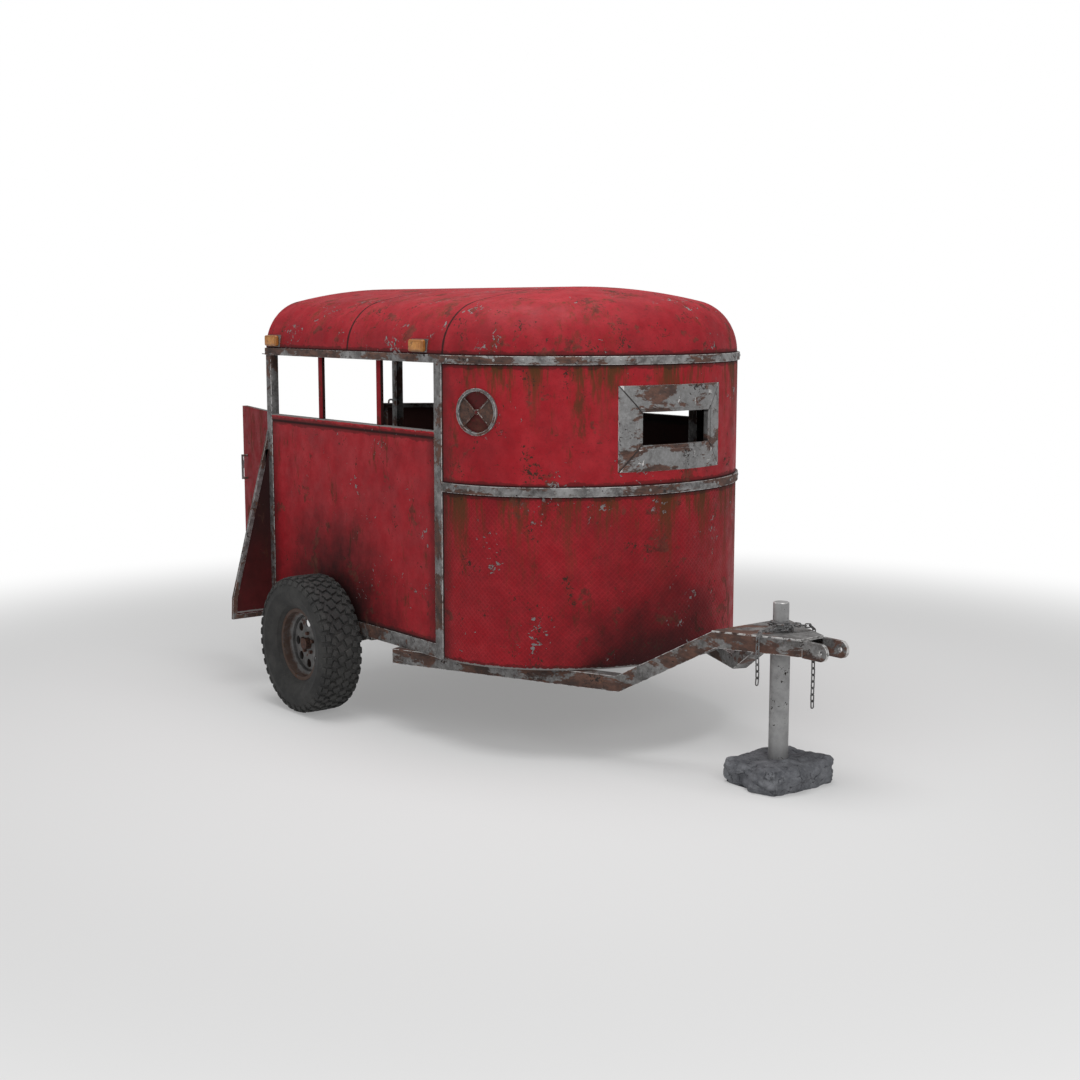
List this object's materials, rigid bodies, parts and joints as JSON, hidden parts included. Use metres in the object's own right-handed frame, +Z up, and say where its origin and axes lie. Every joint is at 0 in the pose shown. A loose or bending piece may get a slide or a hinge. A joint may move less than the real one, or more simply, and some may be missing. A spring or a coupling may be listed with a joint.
{
  "type": "livestock trailer",
  "caption": "Small two-wheel livestock trailer with a rounded nose, barrel roof, open side windows, twin half-height rear doors and a clevis drawbar on a prop.",
  "frame": {"origin": "on the ground below the middle of the overall box", "axes": "+X forwards to the hitch, +Y to the left side, +Z up"},
  "size_m": [4.6024, 2.3866, 2.415],
  "materials": {
    "red_paint": "faded, chipped and rust streaked",
    "dark_paint": "grimy dark red-brown",
    "galvanised": "weathered grey with rust patches",
    "rusty_steel": "brown rust",
    "chain_steel": "dull chain",
    "tyre": "matt black tread rubber",
    "torsion_rubber": "matt black",
    "amber": "amber moulded lens",
    "planks": "weathered boards",
    "stone": "rough grey-blue rock"
  },
  "bodies": {
    "trailer": {"side_rails": "galvanised", "rear_posts": "galvanised", "front_trims": "galvanised", "rear_cross_rails": "galvanised", "cross_members": "galvanised", "floor_planks": "planks", "side_panels": "red_paint", "sill_caps": "red_paint", "window_bars": "red_paint", "eave_rails": "galvanised", "nose_lower_panel": "red_paint", "nose_upper_panel": "red_paint", "nose_mid_band": "galvanised", "nose_eave_band": "galvanised", "nose_floor_rim": "galvanised", "band_rivets": "galvanised", "front_window_frame": "galvanised", "vent_rings": "galvanised", "vent_plates": "dark_paint", "roof_sheets": "red_paint", "roof_dome": "red_paint", "roof_bows": "galvanised", "rear_gable": "red_paint", "lamp_bases": "galvanised", "lamp_lenses": "amber", "latch_keepers": "galvanised", "hinge_leaves": "galvanised", "mud_guards": "dark_paint", "mud_guard_edges": "galvanised", "axle_tube": "galvanised", "axle_bushes": "galvanised", "rubber_cords": "torsion_rubber", "drawbar_members": "galvanised", "drawbar_plate": "galvanised", "clevis_ears": "galvanised", "safety_chain": "chain_steel"},
    "door_right": {"door_skin_right": "red_paint", "door_frame_right": "galvanised", "door_straps_right": "red_paint", "latch_tab": "galvanised", "door_handle": "galvanised"},
    "door_left": {"door_skin_left": "red_paint", "door_frame_left": "galvanised", "door_straps_left": "red_paint", "cane_bolt_guides": "red_paint"},
    "cane_bolt": {"cane_bolt": "galvanised"},
    "vent_right": {"vent_shutter_right": "rusty_steel"},
    "vent_left": {"vent_shutter_left": "rusty_steel"},
    "arm_right": {"trailing_arm_right": "galvanised"},
    "arm_left": {"trailing_arm_left": "galvanised"},
    "wheel_right": {"tyre_right": "tyre", "rim_right": "galvanised", "hub_right": "rusty_steel", "lug_nuts_right": "rusty_steel"},
    "wheel_left": {"tyre_left": "tyre", "rim_left": "galvanised", "hub_left": "rusty_steel", "lug_nuts_left": "rusty_steel"},
    "prop": {"prop_post": "galvanised", "prop_stone": "stone"}
  },
  "joints": [
    {"name": "right_door_hinge", "type": "hinge", "parent": "trailer", "child": "door_right", "pos_m": [-1.46776, -0.866, 1.11], "axis": [0, 0, 1], "range_deg": [-76, 89]},
    {"name": "left_door_hinge", "type": "hinge", "parent": "trailer", "child": "door_left", "pos_m": [-1.46776, 0.866, 1.11], "axis": [0, 0, -1], "range_deg": [-36, 129]},
    {"name": "cane_bolt_slide", "type": "slide", "parent": "door_left", "child": "cane_bolt", "axis": [0, 0, 1], "range_m": [-0.05, 0]},
    {"name": "right_vent_turn", "type": "hinge", "parent": "trailer", "child": "vent_right", "pos_m": [0.64204, -0.87355, 1.781], "axis": [0.359, -0.9333, 0], "range_deg": [0, 90]},
    {"name": "left_vent_turn", "type": "hinge", "parent": "trailer", "child": "vent_left", "pos_m": [0.64204, 0.87355, 1.781], "axis": [0.359, 0.9333, 0], "range_deg": [0, 90]},
    {"name": "right_suspension", "type": "hinge", "parent": "trailer", "child": "arm_right", "pos_m": [-0.60376, -0.8, 0.4344], "axis": [0, 1, 0], "range_deg": [-10, 12], "stiffness_Nm_per_rad": 2400, "springref_deg": -11.46},
    {"name": "left_suspension", "type": "hinge", "parent": "trailer", "child": "arm_left", "pos_m": [-0.60376, 0.8, 0.4344], "axis": [0, 1, 0], "range_deg": [-10, 12], "stiffness_Nm_per_rad": 2400, "springref_deg": -11.46},
    {"name": "right_wheel_spin", "type": "hinge", "parent": "arm_right", "child": "wheel_right", "pos_m": [-0.74076, -1, 0.3937], "axis": [0, 1, 0], "continuous": true},
    {"name": "left_wheel_spin", "type": "hinge", "parent": "arm_left", "child": "wheel_left", "pos_m": [-0.74076, 1, 0.3937], "axis": [0, 1, 0], "continuous": true},
    {"name": "prop_lift", "type": "slide", "parent": "trailer", "child": "prop", "axis": [0, 0, 1], "range_m": [-0.15, 0]}
  ]
}
